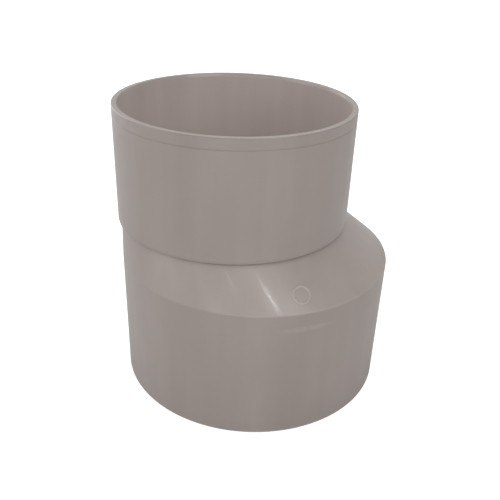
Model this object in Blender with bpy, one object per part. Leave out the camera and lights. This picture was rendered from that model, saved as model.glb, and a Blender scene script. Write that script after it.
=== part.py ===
"""Eccentric reducer for 125 mm and 100 mm plastic drainage pipe.

A spigot body with an oblique shoulder steps from the large bore to the small one, with one side
of the two bores in line. A socket sleeve for the smaller pipe is solvent-cemented over the
body's neck. Metres, +Z up. The origin is on the spigot's axis, in its end face, and the shoulder
is on the +X side. Run it with: blender --background --python part.py
"""

import math

import bmesh
import bpy

MM = 0.001

# Driving sizes, in millimetres.
SPIGOT_OD = 125.0  # goes into the socket of a 125 mm pipe or fitting
SPIGOT_LENGTH = 61.5  # end face to the edge where the shoulder starts
SPIGOT_WALL = 2.8
SPIGOT_END_CHAMFER = 0.5
PIPE_OD = 100.0  # the pipe that the socket takes
PIPE_CLEARANCE = 0.2  # on the radius, between the pipe and the socket
SOCKET_WALL = 2.8
SOCKET_DEPTH = 40.7  # pipe stop to mouth
TAPER_HEIGHT = 16.8  # shoulder edge to ledge
TAPER_SETBACK = 0.4  # the inner taper ends this far below the ledge
NECK_LAP = 12.0  # how far the neck reaches into the sleeve
NECK_WALL = 2.2
NECK_LEAD = 0.8
SLEEVE_OVERHANG = 1.5  # the sleeve stands this far proud of the ledge all round
CEMENT_THICKNESS = 0.2
CEMENT_CLEARANCE = 0.2  # on each side of the cement, so that no two meshes touch
CEMENT_RUN_OUT = 0.2  # how far the cement stays back from the ledge's edge
MOUTH_LEAD = 0.4  # lead-in at the mouth, on the radius
MOUTH_LEAD_HEIGHT = 1.2
EDGE_BREAK = 0.3
WITNESS_BELOW_MOUTH = 4.8  # the mould's parting line round the socket
WITNESS_WIDTH = 0.4
WITNESS_DEPTH = 0.15

SEGMENTS = 96

# Sizes that follow from them.
JOINT_GAP = CEMENT_THICKNESS + 2 * CEMENT_CLEARANCE
SPIGOT_RADIUS = SPIGOT_OD / 2
SPIGOT_BORE = SPIGOT_RADIUS - SPIGOT_WALL
SOCKET_BORE = PIPE_OD / 2 + PIPE_CLEARANCE
SOCKET_RADIUS = SOCKET_BORE + SOCKET_WALL
LEDGE_RADIUS = SOCKET_RADIUS - SLEEVE_OVERHANG
NECK_RADIUS = SOCKET_BORE - JOINT_GAP
NECK_BORE = NECK_RADIUS - NECK_WALL
SOCKET_X = LEDGE_RADIUS - SPIGOT_RADIUS  # the -X side of body and ledge is one straight line
LEDGE_Z = SPIGOT_LENGTH + TAPER_HEIGHT
SLEEVE_END_Z = LEDGE_Z + JOINT_GAP
STOP_Z = LEDGE_Z + NECK_LAP
MOUTH_Z = STOP_Z + SOCKET_DEPTH


def inner_corner_drop(run, rise, wall):
    """How far below an outer corner the inner one lies, where a straight wall starts to lean in."""
    return wall * math.tan(math.atan2(run, rise) / 2)


def plastic(name, colour, roughness):
    material = bpy.data.materials.new(name)
    material.use_nodes = True
    shader = material.node_tree.nodes["Principled BSDF"]
    shader.inputs["Base Color"].default_value = (*colour, 1.0)
    shader.inputs["Roughness"].default_value = roughness
    shader.inputs["Metallic"].default_value = 0.0
    return material


def shell(name, rings, material):
    """A closed shell through rings of (centre x, radius, z), taken once round its wall."""
    mesh = bpy.data.meshes.new(name)
    bm = bmesh.new()
    loops = []
    for centre_x, radius, z in rings:
        made = bmesh.ops.create_circle(bm, segments=SEGMENTS, radius=radius * MM)
        bmesh.ops.translate(bm, verts=made["verts"], vec=(centre_x * MM, 0.0, z * MM))
        loops.append(made["verts"])
    for lower, upper in zip(loops, loops[1:] + loops[:1]):
        for i in range(SEGMENTS):
            j = (i + 1) % SEGMENTS
            bm.faces.new((lower[i], lower[j], upper[j], upper[i]))
    bmesh.ops.recalc_face_normals(bm, faces=bm.faces)
    bm.to_mesh(mesh)
    bm.free()
    mesh.shade_smooth()
    mesh.set_sharp_from_angle(angle=math.radians(30))
    mesh.materials.append(material)
    piece = bpy.data.objects.new(name, mesh)
    bpy.context.scene.collection.objects.link(piece)
    return piece


def reducer_body(material):
    """Spigot, oblique shoulder, ledge and neck, from the spigot's end up, then back inside."""
    shoulder_run = SPIGOT_RADIUS - (SOCKET_X + LEDGE_RADIUS)
    inner_low = SPIGOT_LENGTH - inner_corner_drop(shoulder_run, TAPER_HEIGHT, SPIGOT_WALL)
    inner_high = LEDGE_Z - TAPER_SETBACK
    return shell("reducer_body", [
        (0.0, SPIGOT_RADIUS - SPIGOT_END_CHAMFER, 0.0),
        (0.0, SPIGOT_RADIUS, SPIGOT_END_CHAMFER),
        (0.0, SPIGOT_RADIUS, SPIGOT_LENGTH),
        (SOCKET_X, LEDGE_RADIUS, LEDGE_Z),
        (SOCKET_X, NECK_RADIUS, LEDGE_Z),
        (SOCKET_X, NECK_RADIUS, STOP_Z - NECK_LEAD),
        (SOCKET_X, NECK_RADIUS - NECK_LEAD, STOP_Z),
        (SOCKET_X, NECK_BORE, STOP_Z),
        (SOCKET_X, NECK_BORE, inner_high),
        (0.0, SPIGOT_BORE, inner_low),
        (0.0, SPIGOT_BORE, EDGE_BREAK),
        (0.0, SPIGOT_BORE + EDGE_BREAK, 0.0),
    ], material)


def socket_sleeve(material):
    """The socket for the smaller pipe, with the mould's witness line and a lead-in at its mouth."""
    witness_z = MOUTH_Z - WITNESS_BELOW_MOUTH
    outline = [
        (SOCKET_BORE + EDGE_BREAK, SLEEVE_END_Z),
        (SOCKET_RADIUS - EDGE_BREAK, SLEEVE_END_Z),
        (SOCKET_RADIUS, SLEEVE_END_Z + EDGE_BREAK),
        (SOCKET_RADIUS, witness_z - WITNESS_WIDTH / 2),
        (SOCKET_RADIUS - WITNESS_DEPTH, witness_z),
        (SOCKET_RADIUS, witness_z + WITNESS_WIDTH / 2),
        (SOCKET_RADIUS, MOUTH_Z - EDGE_BREAK),
        (SOCKET_RADIUS - EDGE_BREAK, MOUTH_Z),
        (SOCKET_BORE + MOUTH_LEAD, MOUTH_Z),
        (SOCKET_BORE, MOUTH_Z - MOUTH_LEAD_HEIGHT),
        (SOCKET_BORE, SLEEVE_END_Z + EDGE_BREAK),
    ]
    return shell("socket_sleeve", [(SOCKET_X, r, z) for r, z in outline], material)


def cement_film(material):
    """The set solvent cement, up the neck and out across the ledge under the sleeve's end."""
    inside = NECK_RADIUS + CEMENT_CLEARANCE
    outside = inside + CEMENT_THICKNESS
    foot = LEDGE_Z + CEMENT_CLEARANCE
    outline = [
        (inside, foot),
        (LEDGE_RADIUS - CEMENT_RUN_OUT, foot),
        (LEDGE_RADIUS - CEMENT_RUN_OUT, foot + CEMENT_THICKNESS),
        (outside, foot + CEMENT_THICKNESS),
        (outside, STOP_Z - NECK_LEAD),
        (inside, STOP_Z - NECK_LEAD),
    ]
    return shell("cement_film", [(SOCKET_X, r, z) for r, z in outline], material)


for old in list(bpy.data.objects):
    bpy.data.objects.remove(old, do_unlink=True)

pvc = plastic("taupe_pvc", (0.30, 0.268, 0.256), 0.38)
cement = plastic("set_cement", (0.10, 0.085, 0.078), 0.55)
reducer_body(pvc)
socket_sleeve(pvc)
cement_film(cement)
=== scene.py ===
import math

import bpy
from mathutils import Matrix, Vector


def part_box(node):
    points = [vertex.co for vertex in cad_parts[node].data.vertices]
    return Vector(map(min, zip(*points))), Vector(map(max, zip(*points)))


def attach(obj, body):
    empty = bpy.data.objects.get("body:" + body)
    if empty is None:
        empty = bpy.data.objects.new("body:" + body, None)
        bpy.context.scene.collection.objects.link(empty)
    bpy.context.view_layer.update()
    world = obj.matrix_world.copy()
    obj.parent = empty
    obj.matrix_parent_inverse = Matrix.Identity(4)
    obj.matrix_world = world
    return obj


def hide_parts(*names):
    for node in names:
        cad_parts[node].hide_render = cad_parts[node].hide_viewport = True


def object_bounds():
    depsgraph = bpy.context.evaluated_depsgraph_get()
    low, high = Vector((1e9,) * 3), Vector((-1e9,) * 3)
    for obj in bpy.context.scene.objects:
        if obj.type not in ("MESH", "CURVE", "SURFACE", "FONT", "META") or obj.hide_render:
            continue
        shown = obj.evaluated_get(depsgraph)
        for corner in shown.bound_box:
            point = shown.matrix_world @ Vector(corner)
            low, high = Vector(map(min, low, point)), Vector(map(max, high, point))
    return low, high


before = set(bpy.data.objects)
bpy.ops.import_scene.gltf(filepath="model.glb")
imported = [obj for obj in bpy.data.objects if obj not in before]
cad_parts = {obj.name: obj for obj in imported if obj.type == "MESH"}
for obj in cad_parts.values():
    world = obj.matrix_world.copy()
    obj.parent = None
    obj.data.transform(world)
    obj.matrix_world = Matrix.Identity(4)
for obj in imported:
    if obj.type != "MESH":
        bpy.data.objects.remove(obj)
cad_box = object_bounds()


# The body is one injection moulding in grey-brown PVC: a straight spigot for a 125 mm socket, an
# oblique shoulder, and a ledge with a hidden neck that the sleeve slides over. It stands on its
# spigot end, and everything else is built up on it.

MM = 0.001
SIDES = 288
CEMENT_CLEARANCE = 0.2 * MM
CEMENT_FOOT = 1.7 * MM  # how far the cement spreads out over the ledge, past the neck

body_low, body_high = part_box("reducer_body")
sleeve_low, sleeve_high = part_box("socket_sleeve")
film_low, film_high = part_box("cement_film")

spigot_radius = (body_high.y - body_low.y) / 2
socket_radius = (sleeve_high.y - sleeve_low.y) / 2
socket_x = (sleeve_low.x + sleeve_high.x) / 2
ledge_radius = spigot_radius + socket_x
stop_z = body_high.z
ledge_z = film_low.z - CEMENT_CLEARANCE

SPIGOT_WALL = 2.8 * MM
SPIGOT_CHAMFER = 0.5 * MM
SHOULDER_HEIGHT = 16.8 * MM
NECK_WALL = 2.2 * MM
NECK_LEAD = 0.8 * MM
INNER_TAPER_DROP = 1.4 * MM
INNER_TAPER_SETBACK = 0.4 * MM

shoulder_z = ledge_z - SHOULDER_HEIGHT
neck_radius = (film_high.y - film_low.y) / 2 - CEMENT_FOOT
neck_bore = neck_radius - NECK_WALL


def deselect_all():
    if bpy.context.mode != "OBJECT":
        bpy.ops.object.mode_set(mode="OBJECT")
    bpy.ops.object.select_all(action="DESELECT")


def loft(name, rings, sides=SIDES):
    """Draws a circle, extrudes it from ring to ring of (centre x, radius, z), and closes the wall."""
    deselect_all()
    start_x, start_radius, start_z = rings[0]
    bpy.ops.mesh.primitive_circle_add(
        vertices=sides, radius=start_radius, location=(start_x, 0.0, start_z))
    piece = bpy.context.active_object
    piece.name = name
    bpy.ops.object.transform_apply(location=True, rotation=True, scale=True)
    bpy.ops.object.mode_set(mode="EDIT")
    bpy.ops.mesh.select_mode(type="EDGE")
    bpy.ops.mesh.select_all(action="SELECT")
    for (x0, r0, z0), (x1, r1, z1) in zip(rings, rings[1:]):
        bpy.ops.mesh.extrude_edges_move(
            TRANSFORM_OT_translate={"value": (x1 - x0, 0.0, z1 - z0)})
        bpy.ops.transform.resize(value=(r1 / r0, r1 / r0, 1.0), center_override=(x1, 0.0, z1))
    bpy.ops.mesh.select_all(action="DESELECT")
    bpy.ops.mesh.select_non_manifold()
    bpy.ops.mesh.bridge_edge_loops()
    bpy.ops.mesh.select_all(action="SELECT")
    bpy.ops.mesh.normals_make_consistent(inside=False)
    bpy.ops.object.mode_set(mode="OBJECT")
    return piece


def soften(piece, ring, width, steps=3):
    """Rounds the edge loop that lies on a ring of (centre x, radius, z)."""
    ring_x, radius, z = ring
    near = 0.02 * MM
    deselect_all()
    bpy.context.view_layer.objects.active = piece
    bpy.ops.object.mode_set(mode="EDIT")
    bpy.ops.mesh.select_mode(type="EDGE")
    bpy.ops.mesh.select_all(action="DESELECT")
    bpy.ops.object.mode_set(mode="OBJECT")
    points = [vertex.co for vertex in piece.data.vertices]
    on_ring = [
        abs(p.z - z) < near and abs(math.hypot(p.x - ring_x, p.y) - radius) < near
        for p in points]
    for edge in piece.data.edges:
        edge.select = all(on_ring[i] for i in edge.vertices)
    bpy.ops.object.mode_set(mode="EDIT")
    bpy.ops.mesh.bevel(offset=width, segments=steps, affect="EDGES", clamp_overlap=False)
    bpy.ops.object.mode_set(mode="OBJECT")


def finish_smooth(piece, sharp=50.0):
    """Shades a turned piece smooth, with its broad faces flat and the turn kept to its roundings."""
    deselect_all()
    bpy.context.view_layer.objects.active = piece
    piece.select_set(True)
    bpy.ops.object.shade_smooth_by_angle(angle=math.radians(sharp))
    weighted = piece.modifiers.new("broad faces first", "WEIGHTED_NORMAL")
    weighted.keep_sharp = True
    bpy.ops.object.modifier_apply(modifier=weighted.name)


class Pattern:
    """A shader socket in an expression. Its operators add Math nodes, node() adds any other."""

    def __init__(self, tree, socket=None):
        self.tree = tree
        self.socket = socket

    def node(self, kind, settings=None, inputs=None, output=0):
        made = self.tree.nodes.new("ShaderNode" + kind)
        for name, value in (settings or {}).items():
            if name == "stops":
                ramp = made.color_ramp
                while len(ramp.elements) < len(value):
                    ramp.elements.new(0.5)
                for element, (place, colour) in zip(ramp.elements, value):
                    element.position = place
                    element.color = (*colour, 1.0)
            else:
                setattr(made, name, value)
        for name, value in (inputs or {}).items():
            if isinstance(value, Pattern):
                self.tree.links.new(value.socket, made.inputs[name])
            else:
                made.inputs[name].default_value = value
        return Pattern(self.tree, made.outputs[output])

    def maths(self, operation, *values):
        return self.node("Math", {"operation": operation}, dict(enumerate(values)))

    def __add__(self, other):
        return self.maths("ADD", self, other)

    def __sub__(self, other):
        return self.maths("SUBTRACT", self, other)

    def __mul__(self, other):
        return self.maths("MULTIPLY", self, other)

    def __truediv__(self, other):
        return self.maths("DIVIDE", self, other)

    def __radd__(self, other):
        return self.maths("ADD", other, self)

    def __rsub__(self, other):
        return self.maths("SUBTRACT", other, self)

    def size(self):
        return self.maths("ABSOLUTE", self)

    def between(self, low, high):
        """0 below low, 1 above high, and a soft step from one to the other."""
        return self.node("MapRange", {"interpolation_type": "SMOOTHSTEP"},
                         {"Value": self, "From Min": low, "From Max": high})


def new_material(name):
    """A material with its tree, its Principled shader and a Pattern to build expressions from."""
    material = bpy.data.materials.new(name)
    material.use_nodes = True
    shader = material.node_tree.nodes["Principled BSDF"]
    return material, shader, Pattern(material.node_tree)


def noise(start, place, scale, detail=2.0, stretch=(1.0, 1.0, 1.0)):
    """Noise from 0 to 1 over a place in metres, with its scale in features a metre."""
    stretched = start.node("Mapping", inputs={"Vector": place, "Scale": stretch})
    return start.node("TexNoise", inputs={"Vector": stretched, "Scale": scale, "Detail": detail})


PVC_DARKEST = (0.190, 0.155, 0.141)
PVC_COLOUR = (0.300, 0.256, 0.236)
PVC_PALEST = (0.420, 0.368, 0.344)
PVC_COAT_ROUGHNESS = 0.13
PVC_IOR = 1.53
RELIEF_DEPTH = 0.03 * MM
SCUFF_LENGTH = 14.0 * MM
SCUFF_HEIGHT = 1.7 * MM
SCUFF_PALENESS = 0.08


def moulded_pvc(name, axis_x, wear_and_highlight_rings=(), wear_and_highlight_x=None, painted_shade_bands=(), painted_shade_from=0.0, scuff=None,
                painted_highlight=0.0):
    """Satin PVC as it leaves the mould, with flow lines, pigment clouds, orange peel and handling.

    Each edge ring of (radius, z, paleness) is painted paler, more so from the given x range on:
    rubbing on some edges, a painted highlight along others. Each band of (z, reach, darkness) is
    painted shade, outside the given radius. scuff is the (x, z) of a pale rub mark on the front,
    and the last argument paints the whole piece paler, as a painted highlight. Every pattern is a
    few percent, because new PVC is nearly one colour.
    """
    material, shader, start = new_material(name)
    place = start.node("TexCoord", output=3)
    along = start.node("SeparateXYZ", inputs={"Vector": place}, output=2)
    x = start.node("SeparateXYZ", inputs={"Vector": place}, output=0)
    y = start.node("SeparateXYZ", inputs={"Vector": place}, output=1)
    across = x - axis_x
    radius = start.maths("SQRT", across * across + y * y)

    clouds = noise(start, place, 28.0, 3.0)
    flow = noise(start, place, 160.0, 2.0, (1.0, 1.0, 0.05))
    streaks = noise(start, place, 62.0, 2.0, (1.0, 1.0, 0.14))
    pigment = noise(start, place, 2600.0, 1.0)
    peel = noise(start, place, 900.0, 2.0)
    hairlines = noise(start, place, 90.0, 1.0, (1.0, 1.0, 26.0)).between(0.70, 0.76)
    smudges = noise(start, place, 45.0, 2.0).between(0.52, 0.70)
    patchy = noise(start, place, 420.0, 2.0).between(0.30, 0.62)

    shade = (clouds - 0.5) * 0.08 + (flow - 0.5) * 0.05 + (pigment - 0.5) * 0.05
    # The last term paints the whole piece paler, a painted highlight.
    shade = shade + (streaks - 0.5) * 0.13 + hairlines * 0.03 + painted_highlight
    rough = 0.42 + (clouds - 0.5) * 0.10 + smudges * 0.06 + hairlines * 0.10
    gloss = 0.34 - smudges * 0.10
    # Paler rings along edges: rubbing wear on some, a painted highlight along others.
    for ring_radius, ring_z, paleness in wear_and_highlight_rings:
        off = (radius - ring_radius).size() + (along - ring_z).size()
        wear_and_highlight = (1.0 - off.between(0.1 * MM, 0.9 * MM)) * (0.6 + patchy * 0.4)
        if wear_and_highlight_x:
            wear_and_highlight = wear_and_highlight * (0.08 + x.between(*wear_and_highlight_x) * 0.92)
        shade = shade + wear_and_highlight * paleness
        rough = rough + wear_and_highlight * 0.10
    # Bands of painted shade, darker towards their middle.
    for band_z, reach, darkness in painted_shade_bands:
        band = 1.0 - (along - band_z).size().between(reach * 0.2, reach)
        shade = shade - band * radius.between(painted_shade_from - 0.2 * MM, painted_shade_from) * darkness
    if scuff:
        scuff_x, scuff_z = scuff
        off_x = (x - scuff_x) / SCUFF_LENGTH
        off_z = (along - scuff_z) / SCUFF_HEIGHT
        rub = 1.0 - (off_x * off_x + off_z * off_z).between(0.0, 1.0)
        rub = rub * (0.0 - y).between(0.0, spigot_radius / 2)
        shade = shade + rub * (0.5 + patchy * 0.5) * SCUFF_PALENESS
    amount = (shade + 0.25) * 2.0
    colour = start.node("ValToRGB", {"stops": [
        (0.0, PVC_DARKEST),
        (0.5, PVC_COLOUR),
        (1.0, PVC_PALEST),
    ]}, {"Fac": amount})
    start.tree.links.new(colour.socket, shader.inputs["Base Color"])

    start.tree.links.new(rough.socket, shader.inputs["Roughness"])
    start.tree.links.new(gloss.socket, shader.inputs["Coat Weight"])
    shader.inputs["Coat Roughness"].default_value = PVC_COAT_ROUGHNESS
    shader.inputs["IOR"].default_value = PVC_IOR

    relief = peel * 0.35 + flow * 0.8 + hairlines * -0.5 + pigment * 0.08
    bump = start.node("Bump", inputs={"Strength": 0.35, "Distance": RELIEF_DEPTH, "Height": relief})
    start.tree.links.new(bump.socket, shader.inputs["Normal"])
    return material


body_rings = {
    "spigot end": (0.0, spigot_radius - SPIGOT_CHAMFER, 0.0),
    "chamfer": (0.0, spigot_radius, SPIGOT_CHAMFER),
    "shoulder edge": (0.0, spigot_radius, shoulder_z),
    "ledge edge": (socket_x, ledge_radius, ledge_z),
    "neck foot": (socket_x, neck_radius, ledge_z),
    "neck lead": (socket_x, neck_radius, stop_z - NECK_LEAD),
    "stop outer": (socket_x, neck_radius - NECK_LEAD, stop_z),
    "stop inner": (socket_x, neck_bore, stop_z),
    "inner taper top": (socket_x, neck_bore, ledge_z - INNER_TAPER_SETBACK),
    "inner taper foot": (0.0, spigot_radius - SPIGOT_WALL, shoulder_z - INNER_TAPER_DROP),
    "bore end": (0.0, spigot_radius - SPIGOT_WALL, 0.0),
}
body = loft("moulded_body", list(body_rings.values()))
for ring_name, width in (
    ("spigot end", 0.15), ("chamfer", 0.15), ("shoulder edge", 0.45), ("ledge edge", 0.18),
    ("neck lead", 0.2), ("stop outer", 0.2), ("stop inner", 0.4),
    ("inner taper top", 1.2), ("inner taper foot", 1.6), ("bore end", 0.4),
):
    soften(body, body_rings[ring_name], width * MM)
finish_smooth(body)
body.data.materials.clear()
body.data.materials.append(moulded_pvc(
    "body PVC", 0.0,
    # The shoulder edge is painted paler towards the right, a painted highlight along it; the pale
    # ring at the spigot end is rubbed wear.
    wear_and_highlight_rings=[(spigot_radius, shoulder_z, 0.05), (spigot_radius, 0.8 * MM, 0.10)],
    wear_and_highlight_x=(-6.0 * MM, 14.0 * MM),
    # Painted shade on the ledge where the sleeve overhangs it.
    painted_shade_bands=[(ledge_z, 1.8 * MM, 0.03)],
    scuff=(26.0 * MM, shoulder_z - 7.4 * MM)))
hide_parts("reducer_body")
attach(body, "root")


# The socket sleeve is a second moulding in the same PVC, with a plain bore for 100 mm pipe. It is
# pushed over the body's neck and stands a little proud all round. A witness line from the mould
# runs round it just below the mouth.

SOCKET_WALL = 2.8 * MM
MOUTH_LEAD = 0.4 * MM
MOUTH_LEAD_HEIGHT = 1.2 * MM
WITNESS_BELOW_MOUTH = 4.8 * MM
WITNESS_WIDTH = 0.4 * MM
WITNESS_DEPTH = 0.15 * MM

socket_bore = socket_radius - SOCKET_WALL
mouth_z = sleeve_high.z
witness_z = mouth_z - WITNESS_BELOW_MOUTH
sleeve_rings = {
    "outer foot": (socket_radius, sleeve_low.z),
    "below witness": (socket_radius, witness_z - WITNESS_WIDTH / 2),
    "witness": (socket_radius - WITNESS_DEPTH, witness_z),
    "above witness": (socket_radius, witness_z + WITNESS_WIDTH / 2),
    "outer mouth": (socket_radius, mouth_z),
    "mouth lead": (socket_bore + MOUTH_LEAD, mouth_z),
    "bore top": (socket_bore, mouth_z - MOUTH_LEAD_HEIGHT),
    "bore foot": (socket_bore, sleeve_low.z),
}
sleeve_rings = {name: (socket_x, *ring) for name, ring in sleeve_rings.items()}
sleeve = loft("socket_shell", list(sleeve_rings.values()))
for ring_name, width in (
    ("outer foot", 0.25), ("outer mouth", 0.4), ("mouth lead", 0.15), ("bore top", 0.4),
    ("bore foot", 0.3),
):
    soften(sleeve, sleeve_rings[ring_name], width * MM)
finish_smooth(sleeve)
sleeve.data.materials.clear()
# The sleeve's bands are painted shade: at its foot over the joint, along the witness groove, and on
# the top of the mouth's rim, darkened against the lamps above.
sleeve.data.materials.append(moulded_pvc(
    "sleeve PVC", socket_x, painted_shade_from=socket_bore + MOUTH_LEAD, painted_shade_bands=[
        (sleeve_low.z, 1.8 * MM, 0.03), (witness_z, 0.4 * MM, 0.10), (mouth_z, 0.6 * MM, 0.15)]))
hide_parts("socket_sleeve")
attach(sleeve, "root")


# Solvent cement softens both faces of the joint and sets to a thin glassy film. It shows only as
# a dark line in the gap under the sleeve, with an uneven edge where it was squeezed out. Its
# colour is darker than the PVC: partly the cement's own, partly painted shade in the gap.

CEMENT_THIN = (0.140, 0.118, 0.108)
CEMENT_THICK = (0.080, 0.067, 0.060)
CEMENT_RELIEF = 0.1 * MM

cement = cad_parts["cement_film"]
cement_material, cement_shader, start = new_material("set cement")
place = start.node("TexCoord", output=3)
runs = noise(start, place, 300.0, 2.0)
cement_colour = start.node("ValToRGB", {"stops": [
    (0.25, CEMENT_THICK),
    (0.75, CEMENT_THIN),
]}, {"Fac": runs})
start.tree.links.new(cement_colour.socket, cement_shader.inputs["Base Color"])
start.tree.links.new((0.30 + runs * 0.25).socket, cement_shader.inputs["Roughness"])
cement_bump = start.node("Bump", inputs={
    "Strength": 0.4, "Distance": CEMENT_RELIEF, "Height": runs})
start.tree.links.new(cement_bump.socket, cement_shader.inputs["Normal"])
for slot in cement.material_slots:
    slot.material = cement_material


# The mould left a plain raised ring on the shoulder, off to the front. It is one low rounded
# ridge in the same PVC as the body and moulded in one with it, so it is modelled as a flattened
# ring sunk into the shoulder, and about a quarter of a millimetre of it stands proud.

RING_RADIUS = 3.60 * MM
RING_THICKNESS = 0.75 * MM
RING_FLATNESS = 0.70
RING_SINK = 0.25 * MM
RING_UP_SHOULDER = 0.339
RING_TURN = math.radians(-62.3)

ring_x = socket_x * RING_UP_SHOULDER
ring_reach = spigot_radius + (ledge_radius - spigot_radius) * RING_UP_SHOULDER
ring_place = Vector((
    ring_x + ring_reach * math.cos(RING_TURN),
    ring_reach * math.sin(RING_TURN),
    shoulder_z + SHOULDER_HEIGHT * RING_UP_SHOULDER))
lean = (spigot_radius - ledge_radius - socket_x * math.cos(RING_TURN)) / SHOULDER_HEIGHT
ring_normal = Vector((math.cos(RING_TURN), math.sin(RING_TURN), lean)).normalized()
deselect_all()
bpy.ops.mesh.primitive_torus_add(
    major_radius=RING_RADIUS, minor_radius=RING_THICKNESS, major_segments=128, minor_segments=32)
ring = bpy.context.active_object
ring.name = "moulded_ring"
ring.scale.z = RING_FLATNESS
bpy.ops.object.transform_apply(location=True, rotation=True, scale=True)
ring.location = ring_place - ring_normal * RING_SINK
ring.rotation_euler = ring_normal.to_track_quat("Z", "Y").to_euler()
bpy.ops.object.transform_apply(location=True, rotation=True, scale=True)
bpy.ops.object.shade_smooth()
# The whole ring is painted paler, a painted highlight on its ridge.
ring.data.materials.append(moulded_pvc("ring PVC", 0.0, painted_highlight=0.10))
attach(ring, "root")


# The room is a plain pale sweep: a white floor under a white surround, with broad soft lamps all
# round, two small bare lamps in front that glint on the shoulder, and a small one low in the bore
# that lights its wall.

FLOOR_SIZE = 6.0
FLOOR_GAP = 0.3 * MM
FLOOR_GREY = (0.5, 0.5, 0.5, 1.0)
FLOOR_GLOW = 0.8
WHITE = (1.0, 1.0, 1.0, 1.0)
SURROUND_LIGHT = 0.630
SURROUND_SEEN = 0.370  # what the camera sees on top of that
BORE_LAMP_SPREAD = math.radians(115.0)


def lamp(name, place, aim, size, power):
    """A white square area lamp of that size in metres and power in watts, turned to face aim."""
    deselect_all()
    bpy.ops.object.light_add(type="AREA", location=place)
    light = bpy.context.active_object
    light.name = name
    light.data.size = size
    light.data.energy = power
    light.rotation_euler = (Vector(aim) - Vector(place)).to_track_quat("-Z", "Y").to_euler()
    return light


middle = (0.0, 0.0, 0.07)
lamp("lamp, left low", (-1.0, -0.3, 0.2), middle, 0.7, 0.58)
lamp("lamp, left", (-0.95, -0.35, 0.5), middle, 0.7, 2.32)
lamp("lamp, left back", (-0.75, 0.6, 0.35), middle, 0.7, 2.95)
lamp("lamp, right front", (0.65, -0.75, 0.6), middle, 0.7, 3.39)
lamp("lamp, back high", (0.0, 0.6, 0.9), middle, 0.7, 3.75)
lamp("lamp, front low", (-0.2, -1.0, 0.15), middle, 0.7, 1.77)
lamp("lamp, front high", (0.0, -0.7, 1.1), middle, 1.2, 0.44)
lamp("glint lamp", (0.545, -0.973, 1.128), (0.011, -0.057, 0.07), 0.04, 0.45)
lamp("glint lamp, left", (-0.067, -1.250, 0.975), (-0.005, -0.055, 0.072), 0.04, 0.08)
bore_lamp = lamp("bore lamp", (-0.004, 0.0, 0.042), (-0.011, 0.0, 0.13), 0.05, 0.0400)
bore_lamp.visible_camera = False
bore_lamp.visible_glossy = False
bore_lamp.data.spread = BORE_LAMP_SPREAD

world = bpy.data.worlds.new("white surround")
bpy.context.scene.world = world
world.use_nodes = True
surround = world.node_tree.nodes["Background"]
surround.inputs["Color"].default_value = WHITE
start = Pattern(world.node_tree)
seen = start.node("LightPath", output=0)
start.tree.links.new((SURROUND_LIGHT + seen * SURROUND_SEEN).socket, surround.inputs["Strength"])

deselect_all()
bpy.ops.mesh.primitive_plane_add(size=FLOOR_SIZE, location=(0.0, 0.0, cad_box[0][2] - FLOOR_GAP))
floor = bpy.context.active_object
floor.name = "floor"
bpy.ops.object.transform_apply(location=True, rotation=True, scale=True)
floor_material, floor_shader, start = new_material("white floor")
floor_shader.inputs["Base Color"].default_value = FLOOR_GREY
floor_shader.inputs["Roughness"].default_value = 0.9
floor_shader.inputs["Emission Color"].default_value = WHITE
seen = start.node("LightPath", output=0)
start.tree.links.new((seen * FLOOR_GLOW).socket, floor_shader.inputs["Emission Strength"])
floor.data.materials.append(floor_material)


# The camera stands close, a little above the mouth, so that the far rim looks smaller.

CAMERA_PLACE = Vector((0.0197, -0.2695, 0.2024))
CAMERA_TILT = 0.49038
CAMERA_TURN = -0.08128
CAMERA_ROLL = 0.0373
FOCAL_LENGTH = 45.401
SENSOR_WIDTH = 36.0
NEAREST_SEEN = 0.01

deselect_all()
bpy.ops.object.camera_add(location=CAMERA_PLACE)
camera = bpy.context.active_object
camera.name = "camera"
camera.data.lens = FOCAL_LENGTH
camera.data.sensor_width = SENSOR_WIDTH
camera.data.clip_start = NEAREST_SEEN
forward = Vector((
    math.sin(CAMERA_TURN) * math.cos(CAMERA_TILT),
    math.cos(CAMERA_TURN) * math.cos(CAMERA_TILT),
    -math.sin(CAMERA_TILT)))
level_right = forward.cross(Vector((0.0, 0.0, 1.0))).normalized()
level_up = level_right.cross(forward)
right = math.cos(CAMERA_ROLL) * level_right + math.sin(CAMERA_ROLL) * level_up
up = math.cos(CAMERA_ROLL) * level_up - math.sin(CAMERA_ROLL) * level_right
turn = Matrix((right, up, -forward)).transposed()
camera.matrix_world = Matrix.Translation(CAMERA_PLACE) @ turn.to_4x4()
bpy.context.scene.camera = camera

bpy.context.scene.view_settings.view_transform = "Standard"
